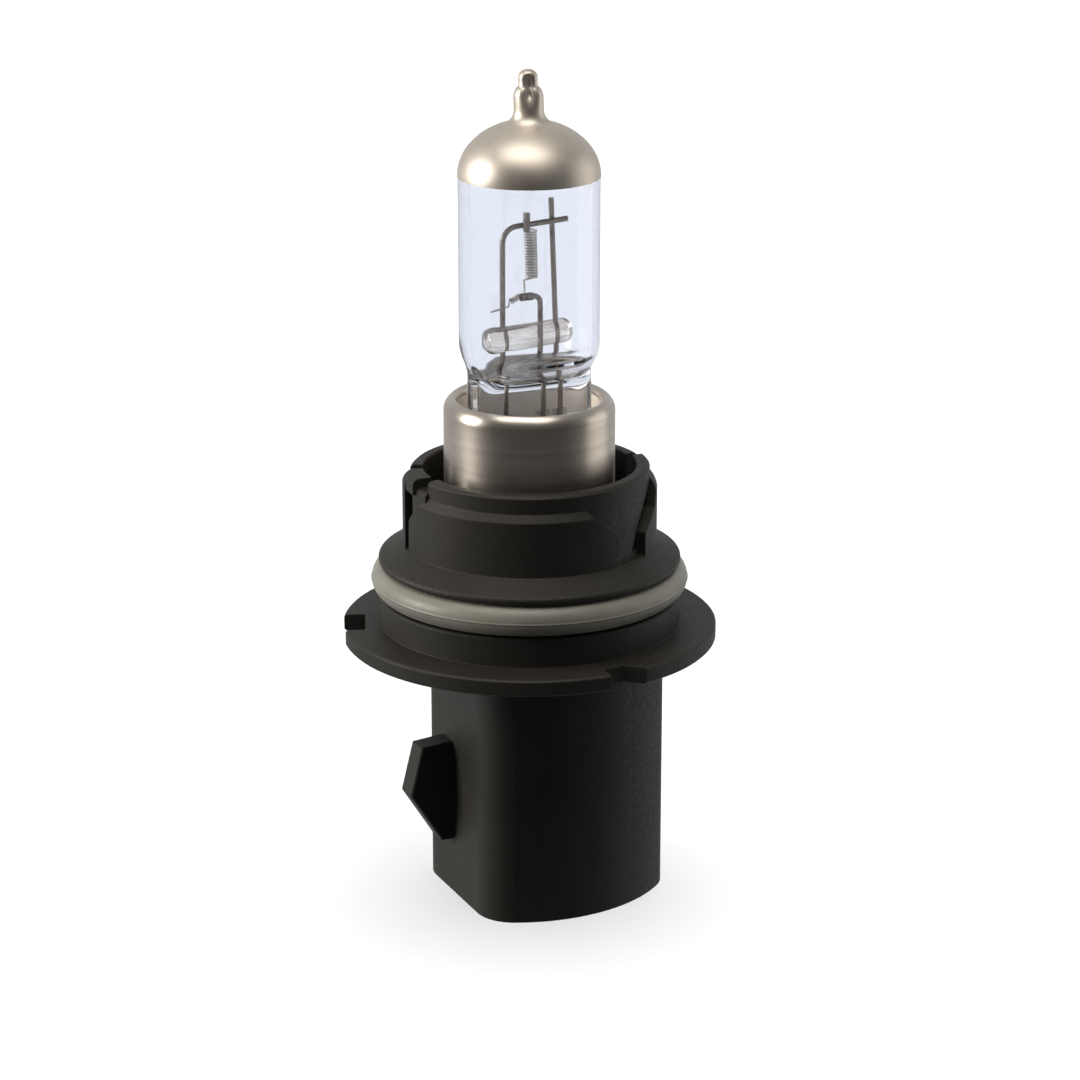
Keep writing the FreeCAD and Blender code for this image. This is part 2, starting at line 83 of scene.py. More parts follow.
GLASS_R = GLASS_HIGH.x
COATING = COAT_HIGH.x - GLASS_R
DOME_Z = COAT_LOW.z + 0.1 * MM
DOME_HEIGHT = 5.7 * MM
TIP_Z = DOME_Z + 5 * MM                     # above here the exhaust tip is uneven
WALL = 1.1 * MM
CAVITY_R = GLASS_R - WALL
CAVITY_DOME_HEIGHT = 4.6 * MM
CAVITY_FLOOR, CAVITY_ROUND = 27.3 * MM, 31.2 * MM       # lowest point, and where it is fully round
PINCH_HALF_WIDTH, PINCH_HALF_THICK = 6.55 * MM, 2.1 * MM
SHOULDER_LOW, SHOULDER_HIGH = 25.0 * MM, 30.4 * MM      # the pinch widens into the round body
FROST_TOP = 22.2 * MM                       # the pinch is frosted below here

BRIDGE_TURN = math.radians(8.0)
SEAL_FLASH = 0.06 * MM                      # height of the mould's flash line on the sealing ring
SEAL_FLASH_ANGLE = 0.05

CAPSULE_SEGMENTS = 160
COATING_SEGMENTS = 192
TURNED_SEGMENTS = 256
ROD_SEGMENTS = 64

VIEW_AZIMUTH = math.radians(-24.7)          # from the front, -Y, and negative towards -X
VIEW_ELEVATION = math.radians(17.74)
VIEW_DISTANCE = 3.96 * HEIGHT
AIM_HEIGHT = LOW.z + 0.438 * HEIGHT
AIM_ASIDE = 0.0125 * HEIGHT                 # the object stands this far left of the picture's middle


# ---- mesh helpers -----------------------------------------------------------------------------------
def smoothstep(low, high, value):
    t = min(max((value - low) / (high - low), 0.0), 1.0)
    return t * t * (3 - 2 * t)


def arc(start, middle, end, steps):
    """Points of the circle through three points, without the first one."""
    ax, ay = start
    bx, by = middle
    cx, cy = end
    d = 2 * (ax * (by - cy) + bx * (cy - ay) + cx * (ay - by))
    a2, b2, c2 = ax * ax + ay * ay, bx * bx + by * by, cx * cx + cy * cy
    ux = (a2 * (by - cy) + b2 * (cy - ay) + c2 * (ay - by)) / d
    uy = (a2 * (cx - bx) + b2 * (ax - cx) + c2 * (bx - ax)) / d
    radius = math.hypot(ax - ux, ay - uy)
    first = math.atan2(ay - uy, ax - ux)
    between = (math.atan2(by - uy, bx - ux) - first) % math.tau
    total = (math.atan2(cy - uy, cx - ux) - first) % math.tau
    if between > total:
        total -= math.tau
    angles = [first + total * i / steps for i in range(1, steps + 1)]
    return [(ux + radius * math.cos(angle), uy + radius * math.sin(angle)) for angle in angles]


def add_rings(mesh, rings, closed=False):
    """Skin a list of rings of equally many points. Ends that aren't closed get a fan to their middle."""
    rows = [[mesh.verts.new(point) for point in ring] for ring in rings]
    count = len(rows[0])
    pairs = list(zip(rows, rows[1:]))
    if closed:
        pairs.append((rows[-1], rows[0]))
    for low, high in pairs:
        for i in range(count):
            j = (i + 1) % count
            mesh.faces.new((low[i], low[j], high[j], high[i]))
    if not closed:
        for row, turn in ((rows[0], -1), (rows[-1], 1)):
            middle = sum((v.co for v in row), Vector()) / count
            hub = mesh.verts.new(middle)
            for i in range(count):
                j = (i + 1) % count
                corners = (row[i], row[j], hub) if turn > 0 else (row[j], row[i], hub)
                mesh.faces.new(corners)


def circle(radius, z, segments):
    angles = [math.tau * i / segments for i in range(segments)]
    return [Vector((radius * math.cos(angle), radius * math.sin(angle), z)) for angle in angles]


def outward(mesh):
    bmesh.ops.recalc_face_normals(mesh, faces=mesh.faces)
    return mesh


def piece(name, mesh, node, finishes, sharp_angle=180):
    """Finish a bmesh as a visible piece that stands for a CAD node, with the given materials."""
    data = bpy.data.meshes.new(name)
    mesh.to_mesh(data)
    mesh.free()
    data.shade_smooth()
    if sharp_angle < 180:
        data.set_sharp_from_angle(angle=math.radians(sharp_angle))
    for finish in finishes:
        data.materials.append(finish)
    made = bpy.data.objects.new(name, data)
    bpy.context.scene.collection.objects.link(made)
    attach(made, "root")
    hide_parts(node)
    return made


def turned(profile):
    """Closed profile of (radius, z) points turned about the bulb's axis."""
    mesh = bmesh.new()
    add_rings(mesh, [circle(radius, z, TURNED_SEGMENTS) for radius, z in profile], closed=True)
    return outward(mesh)


# ---- material helpers -------------------------------------------------------------------------------
class Looks:
    """One material's node graph, round a Principled shader."""

    def __init__(self, name, **values):
        self.material = bpy.data.materials.new(name)
        self.material.use_nodes = True
        self.tree = self.material.node_tree
        self.shader = self.tree.nodes["Principled BSDF"]
        self.place = self.add("TexCoord").outputs["Object"]
        for socket, value in values.items():
            self.shader.inputs[socket.replace("_", " ")].default_value = value

    def add(self, kind, **inputs):
        node = self.tree.nodes.new("ShaderNode" + kind)
        for name, value in inputs.items():
            self.join(value, node.inputs[name.replace("_", " ")])
        return node

    def join(self, value, socket):
        if isinstance(value, bpy.types.NodeSocket):
            self.tree.links.new(value, socket)
        else:
            socket.default_value = value

    def stretched(self, x, y, z):
        return self.add("Mapping", Vector=self.place, Scale=(x, y, z)).outputs["Vector"]

    def noise(self, scale, detail=2.0, roughness=0.5, place=None):
        place = place or self.place
        node = self.add("TexNoise", Vector=place, Scale=scale, Detail=detail, Roughness=roughness)
        return node.outputs["Fac"]

    def height(self):
        return self.add("SeparateXYZ", Vector=self.place).outputs["Z"]

    def between(self, value, low, high, to_low, to_high):
        node = self.add("MapRange", Value=value, From_Min=low, From_Max=high)
        node.inputs["To Min"].default_value = to_low
        node.inputs["To Max"].default_value = to_high
        return node.outputs["Result"]

    def math(self, operation, first, second):
        node = self.tree.nodes.new("ShaderNodeMath")
        node.operation = operation
        self.join(first, node.inputs[0])
        self.join(second, node.inputs[1])
        return node.outputs[0]

    def colours(self, factor, *stops):
        """Colour ramp. A stop is (position, (red, green, blue))."""
        node = self.add("ValToRGB", Fac=factor)
        ramp = node.color_ramp
        while len(ramp.elements) < len(stops):
            ramp.elements.new(0.5)
        for element, (position, colour) in zip(ramp.elements, stops):
            element.position = position
            element.color = colour + (1.0,)
        return node.outputs["Color"]

    def bump(self, height, distance, strength=1.0, normal=None):
        node = self.add("Bump", Height=height, Distance=distance, Strength=strength)
        if normal is not None:
            self.join(normal, node.inputs["Normal"])
        return node.outputs["Normal"]

    def soft_edges(self, radius):
        node = self.tree.nodes.new("ShaderNodeBevel")
        node.samples = 6
        node.inputs["Radius"].default_value = radius
        return node.outputs["Normal"]

    def give(self, **sockets):
        for name, value in sockets.items():
            self.join(value, self.shader.inputs[name.replace("_", " ")])
        return self.material


def moulded_plastic():
    """Matte black moulding with an eroded grain and faint flow marks."""
    looks = Looks("moulded_plastic", Specular_IOR_Level=0.4)
    grain = looks.noise(4600, 3.0, 0.65)
    cloud = looks.noise(160, 3.0)
    normal = looks.bump(grain, 0.06 * MM, 0.5, looks.soft_edges(0.16 * MM))
    return looks.give(
        Base_Color=looks.colours(cloud, (0.3, (0.0160, 0.0142, 0.0112)), (0.7, (0.0230, 0.0206, 0.0168))),
        Roughness=looks.between(looks.noise(2400, 2.0), 0.3, 0.7, 0.50, 0.62),
        Normal=normal,
    )


def seal_rubber():
    """Grey silicone with a powdery bloom and fine turning marks."""
    looks = Looks("seal_rubber", Specular_IOR_Level=0.5, Sheen_Weight=0.15, Sheen_Roughness=0.5)
    cloud = looks.noise(220, 4.0, 0.6)
    marks = looks.noise(1.0, 3.0, 0.6, looks.stretched(60, 60, 4200))
    return looks.give(
        Base_Color=looks.colours(cloud, (0.3, (0.235, 0.232, 0.196)), (0.72, (0.285, 0.282, 0.24))),
        Roughness=looks.between(looks.noise(900, 3.0), 0.3, 0.7, 0.34, 0.46),
        Normal=looks.bump(marks, 0.02 * MM, 0.35),
    )


def brushed_nickel():
    """Warm nickel, turned to fine lines on the wall and polished on the rolled rim."""
    looks = Looks("brushed_nickel", Metallic=1.0, Anisotropic=0.5, Anisotropic_Rotation=0.25)
    tangent = looks.tree.nodes.new("ShaderNodeTangent")
    tangent.direction_type = "RADIAL"
    tangent.axis = "Z"
    wall = looks.between(looks.height(), SLEEVE_HIGH.z - 2.2 * MM, SLEEVE_HIGH.z - 1.4 * MM, 1.0, 0.12)
    fine = looks.noise(1.0, 4.0, 0.7, looks.stretched(14, 14, 9000))
    broad = looks.noise(1.0, 2.0, 0.5, looks.stretched(25, 25, 1500))
    lines = looks.math("MULTIPLY", looks.math("ADD", fine, broad), wall)
    wall_gloss = looks.math("MULTIPLY", wall, 0.06)
    line_gloss = looks.between(fine, 0.3, 0.7, 0.27, 0.34)
    return looks.give(
        Base_Color=looks.colours(broad, (0.3, (0.50, 0.455, 0.40)), (0.7, (0.60, 0.55, 0.49))),
        Roughness=looks.math("ADD", wall_gloss, line_gloss),
        Tangent=tangent.outputs["Tangent"],
        Normal=looks.bump(lines, 0.012 * MM, 0.5),
    )


def sleeve_lining_painted_pale():
    """Unpolished inside of the sleeve, which scatters light; its nickel is painted paler and partly matte
    as painted light reflected inside the sleeve.
    """
    looks = Looks("sleeve_lining_painted_pale", Metallic=0.35)
    cloud = looks.noise(420, 3.0, 0.6)
    marks = looks.noise(1.0, 3.0, 0.6, looks.stretched(900, 900, 90))
    return looks.give(
        # painted light: these stops are far paler than the outer nickel, for light reflected inside the
        # sleeve
        Base_Color=looks.colours(cloud, (0.3, (0.80, 0.71, 0.60)), (0.7, (0.90, 0.82, 0.71))),
        Roughness=looks.between(marks, 0.3, 0.7, 0.45, 0.6),
        Normal=looks.bump(marks, 0.02 * MM, 0.4),
    )


def satin_coating():
    """Champagne silver paint: even satin gloss with a fine metallic grain."""
    looks = Looks("satin_coating", Metallic=1.0)
    grain = looks.noise(9000, 2.0, 0.6)
    cloud = looks.noise(300, 3.0)
    return looks.give(
        Base_Color=looks.colours(cloud, (0.3, (0.66, 0.605, 0.53)), (0.7, (0.73, 0.67, 0.595))),
        Roughness=looks.between(cloud, 0.3, 0.7, 0.44, 0.50),
        Normal=looks.bump(grain, 0.008 * MM, 0.4),
    )


def capsule_quartz():
    """Clear blue-tinted quartz with slow waves in its surface; its tint is darkened by viewing angle
    towards its edges as painted shade.
    """
    looks = Looks("capsule_quartz", IOR=1.46, Roughness=0.0, Transmission_Weight=1.0)
    # painted shade: the tint deepens where the surface is seen at a slant, towards the glass's edges
    edge = looks.add("LayerWeight", Blend=0.35).outputs["Facing"]
    waves = looks.noise(130, 1.0)
    return looks.give(
        # painted shade: the darker stop is the edge colour, reached at grazing view
        Base_Color=looks.colours(edge, (0.3, (0.69, 0.73, 0.815)), (0.95, (0.47, 0.505, 0.63))),
        Normal=looks.bump(waves, 0.05 * MM, 0.12),
    )


def cavity_quartz():
    """The same quartz seen at the inside of the capsule, where it takes no more tint."""
    looks = Looks("cavity_quartz", IOR=1.46, Roughness=0.0, Transmission_Weight=1.0)
    haze = looks.noise(300, 2.0)
    return looks.give(
        Base_Color=looks.colours(haze, (0.3, (0.985, 0.988, 0.995)), (0.7, (1.0, 1.0, 1.0))),
        Normal=looks.bump(haze, 0.02 * MM, 0.08),
    )


def pressed_quartz():
    """The pinch's lower end, frosted by the press jaws."""
    looks = Looks("pressed_quartz", IOR=1.46, Specular_IOR_Level=0.5)
    frost = looks.noise(2600, 3.0, 0.6)
    return looks.give(
        Base_Color=looks.colours(frost, (0.3, (0.80, 0.79, 0.77)), (0.7, (0.92, 0.91, 0.89))),
        Roughness=looks.between(frost, 0.3, 0.7, 0.45, 0.7),
        Normal=looks.bump(frost, 0.05 * MM, 0.5),
    )


def milky_quartz():
    """Drawn quartz rod, clouded by fine streaks along its length."""
    looks = Looks("milky_quartz", IOR=1.46, Transmission_Weight=0.96)
    streaks = looks.noise(1.0, 4.0, 0.65, looks.stretched(160, 160, 2600))
    cloud = looks.noise(500, 3.0)
    return looks.give(
        Base_Color=looks.colours(streaks, (0.38, (0.56, 0.485, 0.41)), (0.60, (1.0, 0.96, 0.905))),
        Roughness=looks.between(cloud, 0.3, 0.7, 0.02, 0.08),
        Normal=looks.bump(streaks, 0.03 * MM, 0.35),
    )


def drawn_wire(name, dark, light, roughness):
    """Drawn metal wire: lines along it and a warm oxide stain."""
    looks = Looks(name, Metallic=1.0)
    stain = looks.noise(700, 4.0, 0.65)
    marks = looks.noise(1.0, 3.0, 0.6, looks.stretched(9000, 9000, 400))
    return looks.give(
        Base_Color=looks.colours(stain, (0.32, dark), (0.68, light)),
        Roughness=looks.between(marks, 0.3, 0.7, roughness, roughness + 0.15),
        Normal=looks.bump(marks, 0.01 * MM, 0.4),
    )


def sheet_metal(name, dark, light, scale):
    """Stamped or rolled sheet with soft rolling marks."""
    looks = Looks(name, Metallic=1.0)
    cloud = looks.noise(scale, 3.0, 0.6)
    marks = looks.noise(1.0, 3.0, 0.6, looks.stretched(3000, 3000, 120))
    return looks.give(
        Base_Color=looks.colours(cloud, (0.3, dark), (0.7, light)),
        Roughness=looks.between(marks, 0.3, 0.7, 0.22, 0.4),
        Normal=looks.bump(marks, 0.01 * MM, 0.4, looks.soft_edges(0.1 * MM)),
    )


def potting_resin():
    """Dark cast resin with a slow ripple and small pits."""
    looks = Looks("potting_resin", Coat_Weight=0.3, Coat_Roughness=0.2)
    ripple = looks.noise(350, 2.0)
    pits = looks.noise(2600, 2.0, 0.6)
    return looks.give(
        Base_Color=looks.colours(ripple, (0.3, (0.03, 0.026, 0.021)), (0.7, (0.05, 0.043, 0.036))),
        Roughness=looks.between(pits, 0.3, 0.7, 0.35, 0.55),
        Normal=looks.bump(looks.math("ADD", ripple, pits), 0.05 * MM, 0.4),
    )


def pale_paper():
    """White studio paper with a barely uneven tone."""
    looks = Looks("pale_paper", Specular_IOR_Level=0.2, Roughness=0.8)
    tone = looks.noise(40, 3.0)
    return looks.give(
        Base_Color=looks.colours(tone, (0.3, (0.93, 0.93, 0.93)), (0.7, (0.95, 0.95, 0.95))),
    )


# ---- glass capsule ----------------------------------------------------------------------------------
def foot_point(angle, radius, flat, half_width, half_thick, z):
    """Point of a section that goes from round (flat 0) to the pinched, beaded foot (flat 1)."""
    c, s = math.cos(angle), math.sin(angle)
    wide = math.copysign(abs(c) ** 0.62, c) * half_width
    bead = 1 + 0.16 * smoothstep(0.55, 0.85, abs(wide) / half_width)
    thick = math.copysign(abs(s) ** 0.3, s) * half_thick * bead
    x = (1 - flat) * radius * c + flat * wide
    y = (1 - flat) * radius * s + flat * thick
    return Vector((x, y, z))


def foot_ring(radius, flat, half_width, half_thick, z):
    angles = [math.tau * i / CAPSULE_SEGMENTS for i in range(CAPSULE_SEGMENTS)]
    return [foot_point(angle, radius, flat, half_width, half_thick, z) for angle in angles]


def body_rings(radius, low):
    """Rings of the straight round body, from just above a level to just below the dome."""
    return [circle(radius, low + (DOME_Z - low) * i / 6, CAPSULE_SEGMENTS) for i in range(1, 6)]


def dome_point(radius, height, angle):
    return (radius * math.cos(angle), DOME_Z + height * math.sin(angle))


def tip_profile(grow=0.0):
    """Dome, neck and two-stage exhaust tip, as (radius, z) points from the dome's foot to the axis."""
    end = GLASS_HIGH.z + grow
    turn = math.radians(67)
    points = [dome_point(GLASS_R + grow, DOME_HEIGHT + grow, turn * i / 28) for i in range(29)]
    stub, nub = 1.5 * MM + grow, 0.95 * MM + grow
    neck_top, shoulder = end - 4.1 * MM, end - 2.8 * MM
    points += arc(points[-1], (stub + 0.32 * MM, neck_top - 1.0 * MM), (stub, neck_top), 8)
    points += [(stub, neck_top + 0.6 * MM), (stub, shoulder)]
    points += arc(points[-1], (stub - 0.17 * MM, shoulder + 0.62 * MM), (nub, shoulder + 1.1 * MM), 6)
    crown_height = nub * 0.8
    crown = end - crown_height
    points.append((nub, crown - 0.3 * MM))
    for i in range(8):
        angle = math.pi / 2 * i / 8
        points.append((nub * math.cos(angle), crown + crown_height * math.sin(angle)))
    return points


def shape_tip(point):
    """Uneven exhaust tip: it leans a little, and a groove runs down one side where it was sealed."""
    end = GLASS_HIGH.z
    lean = 0.12 * MM * smoothstep(TIP_Z, end, point.z)
    angle = math.atan2(point.y, point.x)
    groove_angle = VIEW_AZIMUTH - math.pi / 2 + 0.1
    away = math.atan2(math.sin(angle - groove_angle), math.cos(angle - groove_angle))
    groove = math.exp(-((away / 0.42) ** 2)) * smoothstep(end - 3.4 * MM, end - 2.4 * MM, point.z)
    groove *= 1 - smoothstep(end - 0.9 * MM, end - 0.2 * MM, point.z)
    squeeze = 1 - 0.42 * groove
    return Vector((point.x * squeeze - lean, point.y * squeeze, point.z))


def tip_ring(radius, z, segments):
    return [shape_tip(point) for point in circle(radius, z, segments)]


def outer_skin():
    """Outside of the capsule, from the pinched foot through the round body to the exhaust tip."""
    levels = [GLASS_LOW.z, GLASS_LOW.z + 4 * MM, 20 * MM, 22 * MM, 23.6 * MM]
    levels += [SHOULDER_LOW + (SHOULDER_HIGH - SHOULDER_LOW) * i / 26 for i in range(27)]
    rings = []
    for z in levels:
        flat = 1 - smoothstep(25.6 * MM, 29.4 * MM, z)
        radius = GLASS_R - 1.2 * MM * (1 - smoothstep(25.4 * MM, 30.6 * MM, z))
        rings.append(foot_ring(radius, flat, PINCH_HALF_WIDTH, PINCH_HALF_THICK, z))
    rings += body_rings(GLASS_R, SHOULDER_HIGH)
    rings += [tip_ring(radius, z, CAPSULE_SEGMENTS) for radius, z in tip_profile()]
    mesh = bmesh.new()
    add_rings(mesh, rings)
    return outward(mesh)


def inner_skin():
    """Wall of the gas space: a trough over the pinch that opens into the round body. It faces inward."""
    steps = 20
    rings = []
    for i in range(steps + 1):
        t = i / steps
        z = CAVITY_FLOOR + (CAVITY_ROUND - CAVITY_FLOOR) * t * t
        radius = CAVITY_R * (0.8 + 0.2 * math.sin(t * math.pi / 2))
        rings.append(foot_ring(radius, 1 - smoothstep(0, 1, t), (4.9 + 0.9 * t) * MM, 1.1 * MM, z))
    rings += body_rings(CAVITY_R, CAVITY_ROUND)
    for i in range(steps + 1):
        radius, z = dome_point(CAVITY_R, CAVITY_DOME_HEIGHT, math.radians(84) * i / steps)
        rings.append(circle(radius, z, CAPSULE_SEGMENTS))
    mesh = bmesh.new()
    add_rings(mesh, rings)
    outward(mesh)
    bmesh.ops.reverse_faces(mesh, faces=mesh.faces)
    return mesh


def joined(*meshes):
    both = bmesh.new()
    for mesh in meshes:
        data = bpy.data.meshes.new("part")
        mesh.to_mesh(data)
        mesh.free()
        both.from_mesh(data)
        bpy.data.meshes.remove(data)
    return both


def capsule():
    """The quartz capsule as one piece: outer skin, inner skin and the frosted end of the pinch.

    Light passes through the clear glass to what is inside and behind it, so it casts no shadow.
    """
    finishes = [capsule_quartz(), cavity_quartz(), pressed_quartz()]
    made = piece("glass_capsule", joined(outer_skin(), inner_skin()), "glass_envelope", finishes)
    made.visible_shadow = False
    between_skins = GLASS_R - 0.5 * WALL
    for face in made.data.polygons:
        middle = face.center
        across = Vector((middle.x, middle.y, 0))
        faces_in = across.length < between_skins and face.normal.dot(across) <= 0
        if middle.z < FROST_TOP:
            face.material_index = 2
        elif faces_in and middle.z < DOME_Z + 4.5 * MM:
            face.material_index = 1


def coated_tip():
    """Closed shell of paint on the dome and tip."""
    rings = [circle(GLASS_R + 0.004 * MM, COAT_LOW.z + 0.02 * MM, COATING_SEGMENTS)]
    outside = [(GLASS_R + COATING, COAT_LOW.z)] + tip_profile(COATING)
    rings += [tip_ring(radius, z, COATING_SEGMENTS) for radius, z in outside]
    mesh = bmesh.new()
    add_rings(mesh, rings)
    piece("coated_tip", outward(mesh), "tip_coating", [satin_coating()], 60)


def bridge_profile(half):
    """Lumpy bead, straight rod and rounded right end, as (place along, share of the radius)."""
    rod, round_end = 0.95, 0.9 * MM
    bead = [(0.0, 0.5), (0.12, 0.74), (0.35, 0.93), (0.7, 1.03)]
    bead += [(1.25, 1.04), (1.65, 0.98), (1.95, 0.9), (2.4, rod)]
    profile = [(-half + offset * MM, share) for offset, share in bead]
    profile += [(place * half, rod) for place in (-0.3, -0.05, 0.2, 0.45, 0.7)]
    for i in range(11):
        angle = math.pi / 2 * i / 10
        share = 0.3 + (rod - 0.3) * math.cos(angle)
        profile.append((half - round_end + round_end * math.sin(angle), share))
    return profile


def bridge():
    """Quartz rod over the support wires, with a lumpy fused bead at its left end."""
    centre = (BRIDGE_LOW + BRIDGE_HIGH) / 2
    half = (BRIDGE_HIGH.x - BRIDGE_LOW.x) / 2 / math.cos(BRIDGE_TURN) - 0.15 * MM
    radius = (BRIDGE_HIGH.z - BRIDGE_LOW.z) / 2
    along = Vector((math.cos(BRIDGE_TURN), math.sin(BRIDGE_TURN), 0))
    across = Vector((-math.sin(BRIDGE_TURN), math.cos(BRIDGE_TURN), 0))
    up = Vector((0, 0, 1))
    rings = []
    for x, share in bridge_profile(half):
        faceted = 0.05 * smoothstep(-half + 1.6 * MM, -half, x)
        ring = []
        for i in range(ROD_SEGMENTS):
            angle = math.tau * i / ROD_SEGMENTS
            r = radius * share * (1 - faceted * math.cos(5 * angle))
            ring.append(centre + along * x + across * (r * math.cos(angle)) + up * (r * math.sin(angle)))
        rings.append(ring)
    mesh = bmesh.new()
    add_rings(mesh, rings)
    piece("bridge_quartz", outward(mesh), "bridge_rod", [milky_quartz()], 50)


# ---- metal sleeve and sealing ring ------------------------------------------------------------------
def sleeve():
    """Thin sleeve whose rim is rolled inward over a full round."""
    outer, top, foot = SLEEVE_HIGH.x, SLEEVE_HIGH.z, SLEEVE_LOW.z
    wall, lip, roll, chamfer = 0.5 * MM, 7.55 * MM, 1.7 * MM, 0.06 * MM
    under_roll, lip_end = top - roll - 0.6 * MM, top - 4.1 * MM
    profile = [(outer - wall, foot), (outer - chamfer, foot), (outer, foot + chamfer)]
    profile += [(outer, foot + (top - roll - foot) * i / 4) for i in range(1, 5)]
    shoulder, crest = (outer - 0.24 * MM, top - 0.62 * MM), (outer - 0.85 * MM, top - 0.04 * MM)
    profile += arc(profile[-1], shoulder, crest, 12)
    profile += arc(crest, (lip + 0.16 * MM, top - 0.3 * MM), (lip, top - 0.85 * MM), 8)
    profile += [(lip, top - 2.4 * MM), (lip + 0.12 * MM, lip_end), (lip + 0.5 * MM, lip_end)]
    profile += [(lip + 0.5 * MM, under_roll), (outer - wall, under_roll)]
    finishes = [brushed_nickel(), sleeve_lining_painted_pale()]
    made = piece("rolled_sleeve", turned(profile), "capsule_sleeve", finishes, 50)
    # inner faces take the lining, whose nickel is painted pale as painted light reflected inside the
    # sleeve
    for face in made.data.polygons:
        middle = face.center
        inside = math.hypot(middle.x, middle.y) < outer - 0.4 * MM and middle.z < top - 0.9 * MM
        face.material_index = 1 if inside else 0


def seal():
    """Round-section ring with the thin flash line of its mould round the outside and inside."""
    middle_z = (RING_LOW.z + RING_HIGH.z) / 2
    section_r = (RING_HIGH.z - RING_LOW.z) / 2
    centre_r = RING_HIGH.x - section_r
    clear = 2.6 * SEAL_FLASH_ANGLE
    angles = [math.tau * i / 72 for i in range(72)]
    for line in (0.0, math.pi):
        angles = [a for a in angles if abs(math.sin(a - line)) > clear or math.cos(a - line) < 0]
        angles += [line + SEAL_FLASH_ANGLE * i / 2 for i in range(-5, 6)]
    profile = []
    for angle in sorted(a % math.tau for a in angles):
        flash = SEAL_FLASH * math.exp(-((math.sin(angle) / SEAL_FLASH_ANGLE) ** 2))
        radius = section_r - SEAL_FLASH + flash
        profile.append((centre_r + radius * math.cos(angle), middle_z + radius * math.sin(angle)))
    piece("seal_ring", turned(profile), "sealing_ring", [seal_rubber()], 80)


# ---- studio -----------------------------------------------------------------------------------------
def from_camera(turn, elevation):
    """Unit vector towards a direction given in degrees, to the right of the camera and up."""
    a, e = VIEW_AZIMUTH + math.radians(turn), math.radians(elevation)
    return Vector((math.sin(a) * math.cos(e), -math.cos(a) * math.cos(e), math.sin(e)))


def camera():
    data = bpy.data.cameras.new("camera")
    data.sensor_width = 36
    data.lens = 111.2
    data.clip_start, data.clip_end = 0.01, 20
    made = bpy.data.objects.new("camera", data)
    bpy.context.scene.collection.objects.link(made)
    back = from_camera(0, math.degrees(VIEW_ELEVATION))
    right = Vector((math.cos(VIEW_AZIMUTH), math.sin(VIEW_AZIMUTH), 0))
    aim = Vector((0, 0, AIM_HEIGHT)) + right * AIM_ASIDE
    made.location = aim + back * VIEW_DISTANCE
    made.rotation_euler = (-back).to_track_quat("-Z", "Y").to_euler()
    bpy.context.scene.camera = made


def softbox(name, ground, turn, elevation, distance, width, height, radiance, tint):
    """Soft light on the object only: the floor has its own even light."""
    data = bpy.data.lights.new(name, "AREA")
    data.shape = "RECTANGLE"
    data.size, data.size_y = width, height
    data.energy = radiance * math.pi * width * height
    data.color = tint
    made = bpy.data.objects.new(name, data)
    bpy.context.scene.collection.objects.link(made)
    towards = from_camera(turn, elevation)
    made.location = Vector((0, 0, LOW.z + 0.5 * HEIGHT)) + towards * distance
    made.rotation_euler = towards.to_track_quat("Z", "Y").to_euler()
    spared = bpy.data.collections.new("spared_by_" + name)
    spared.objects.link(ground)
    made.light_linking.receiver_collection = spared
    spared.collection_objects[0].light_linking.link_state = "EXCLUDE"


def floor():
    """Ground that the object stands on. It stays out of the object's reflections and bounced light."""
    mesh = bmesh.new()
    bmesh.ops.create_grid(mesh, x_segments=2, y_segments=2, size=4.0)
    data = bpy.data.meshes.new("floor")
    mesh.to_mesh(data)
    mesh.free()
    made = bpy.data.objects.new("floor", data)
    bpy.context.scene.collection.objects.link(made)
    made.location.z = LOW.z - 0.02 * MM
    data.materials.append(pale_paper())
    made.visible_diffuse = False
    made.visible_glossy = False
    return made


def floor_wash(ground, strength, shadow):
    """Soft light from above for the floor alone: an even part, and a part that the object shades."""
    name = "floor_wash_shaded" if shadow else "floor_wash_even"
    data = bpy.data.lights.new(name, "SUN")
    data.energy = strength
    data.angle = math.radians(70)
    data.use_shadow = shadow
    made = bpy.data.objects.new(name, data)
    bpy.context.scene.collection.objects.link(made)
    made.location.z = HEIGHT * 5
    takes = bpy.data.collections.new("takes_" + name)
    takes.objects.link(ground)
    made.light_linking.receiver_collection = takes


def seen_directly(tree):
    """1 where a ray comes straight from the camera or through glass, else 0."""
    path = tree.nodes.new("ShaderNodeLightPath")
    either = tree.nodes.new("ShaderNodeMath")
    either.operation = "MAXIMUM"
    tree.links.new(path.outputs["Is Camera Ray"], either.inputs[0])
    tree.links.new(path.outputs["Is Transmission Ray"], either.inputs[1])
    return either.outputs[0]


def surround_glow(tree, behind, before):
    """Strength that goes from one value behind the object to another on the camera's side."""
    direction = tree.nodes.new("ShaderNodeTexCoord")
    facing = tree.nodes.new("ShaderNodeVectorMath")
    facing.operation = "DOT_PRODUCT"
    facing.inputs[1].default_value = from_camera(0, 0)
    tree.links.new(direction.outputs["Generated"], facing.inputs[0])
    glow = tree.nodes.new("ShaderNodeMapRange")
    glow.inputs["From Min"].default_value = -1
    glow.inputs["From Max"].default_value = 0.6
    glow.inputs["To Min"].default_value = behind
    glow.inputs["To Max"].default_value = before
    tree.links.new(facing.outputs["Value"], glow.inputs["Value"])
    return glow.outputs["Result"]


def world(seen, behind, before):
    """White surround where it is seen directly or through glass. As a light it is dimmer."""
    made = bpy.data.worlds.new("studio")
    bpy.context.scene.world = made
    made.use_nodes = True
    tree = made.node_tree
    level = tree.nodes.new("ShaderNodeMapRange")
    tree.links.new(seen_directly(tree), level.inputs["Value"])
    tree.links.new(surround_glow(tree, behind, before), level.inputs["To Min"])
    level.inputs["To Max"].default_value = seen
    background = tree.nodes["Background"]
    tree.links.new(level.outputs["Result"], background.inputs["Strength"])
    background.inputs["Color"].default_value = (1, 1, 1, 1)


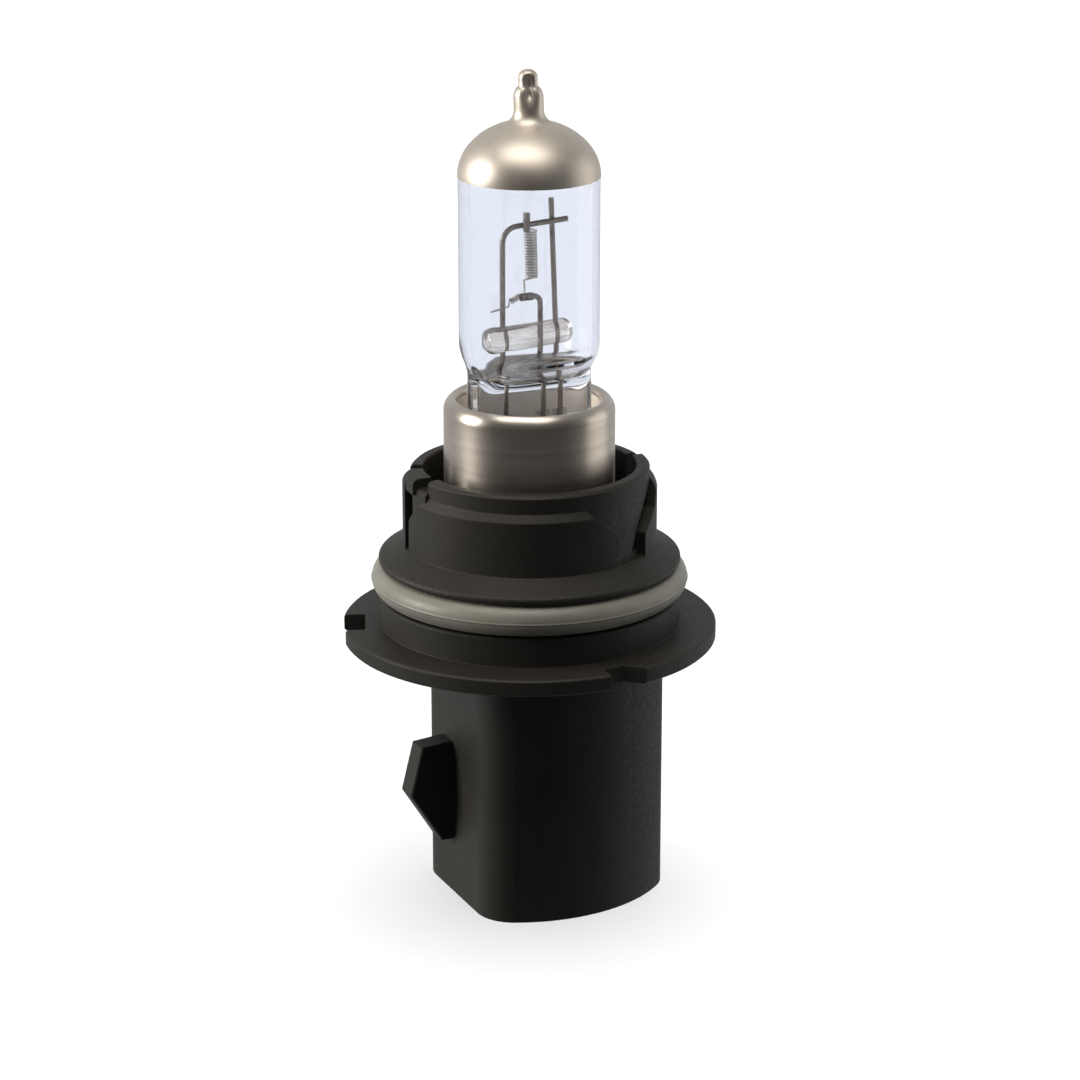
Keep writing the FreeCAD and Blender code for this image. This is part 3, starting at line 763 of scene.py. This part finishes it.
def studio():
    bpy.context.scene.view_settings.view_transform = "Standard"
    camera()
    ground = floor()
    floor_wash(ground, strength=2.35, shadow=False)
    floor_wash(ground, strength=0.75, shadow=True)
    world(seen=1.0, behind=0.6, before=0.075)
    softbox(
        "key", ground, turn=-86, elevation=15, distance=0.55,
        width=0.2, height=0.3, radiance=11.5, tint=(1.0, 0.95, 0.89),
    )
    softbox(
        "top", ground, turn=-14, elevation=74, distance=0.55,
        width=0.5, height=0.26, radiance=3.9, tint=(1.0, 0.94, 0.87),
    )
    softbox(
        "edge", ground, turn=104, elevation=0, distance=0.6,
        width=0.42, height=0.6, radiance=0.85, tint=(1.0, 0.96, 0.9),
    )


# ---- assembly ---------------------------------------------------------------------------------------
def paint(node, material):
    """Give a CAD piece its material, in place of the plain one of its slot."""
    data = frame["nodes"][node].data
    data.materials.clear()
    data.materials.append(material)


def build():
    plastic = moulded_plastic()
    steel = sheet_metal("plain_steel", (0.42, 0.40, 0.37), (0.55, 0.53, 0.49), 400)
    terminal = sheet_metal("tinned_brass", (0.62, 0.52, 0.33), (0.74, 0.66, 0.48), 500)
    molybdenum = sheet_metal("molybdenum_foil", (0.36, 0.35, 0.34), (0.48, 0.47, 0.45), 900)
    support = drawn_wire("support_wire", (0.13, 0.108, 0.09), (0.25, 0.215, 0.185), 0.26)
    tungsten = drawn_wire("tungsten_wire", (0.38, 0.345, 0.315), (0.60, 0.555, 0.515), 0.3)
    resin = potting_resin()

    for node in ("base_housing", "terminal_carrier"):
        paint(node, plastic)
    for node in ("focus_cup", "capsule_clip"):
        paint(node, steel)
    for node in ("low_beam_blade", "common_blade", "high_beam_blade"):
        paint(node, terminal)
    for side in ("left", "middle", "right"):
        paint(side + "_support_wire", support)
        paint(side + "_foil", molybdenum)
        paint(side + "_lead", terminal)
    for node in ("upper_filament_clamp", "lower_filament_clamp"):
        paint(node, support)
    for node in ("upper_filament", "lower_filament"):
        paint(node, tungsten)
    paint("potting_plug", resin)

    capsule()
    coated_tip()
    bridge()
    sleeve()
    seal()


build()
studio()
bpy.context.view_layer.update()
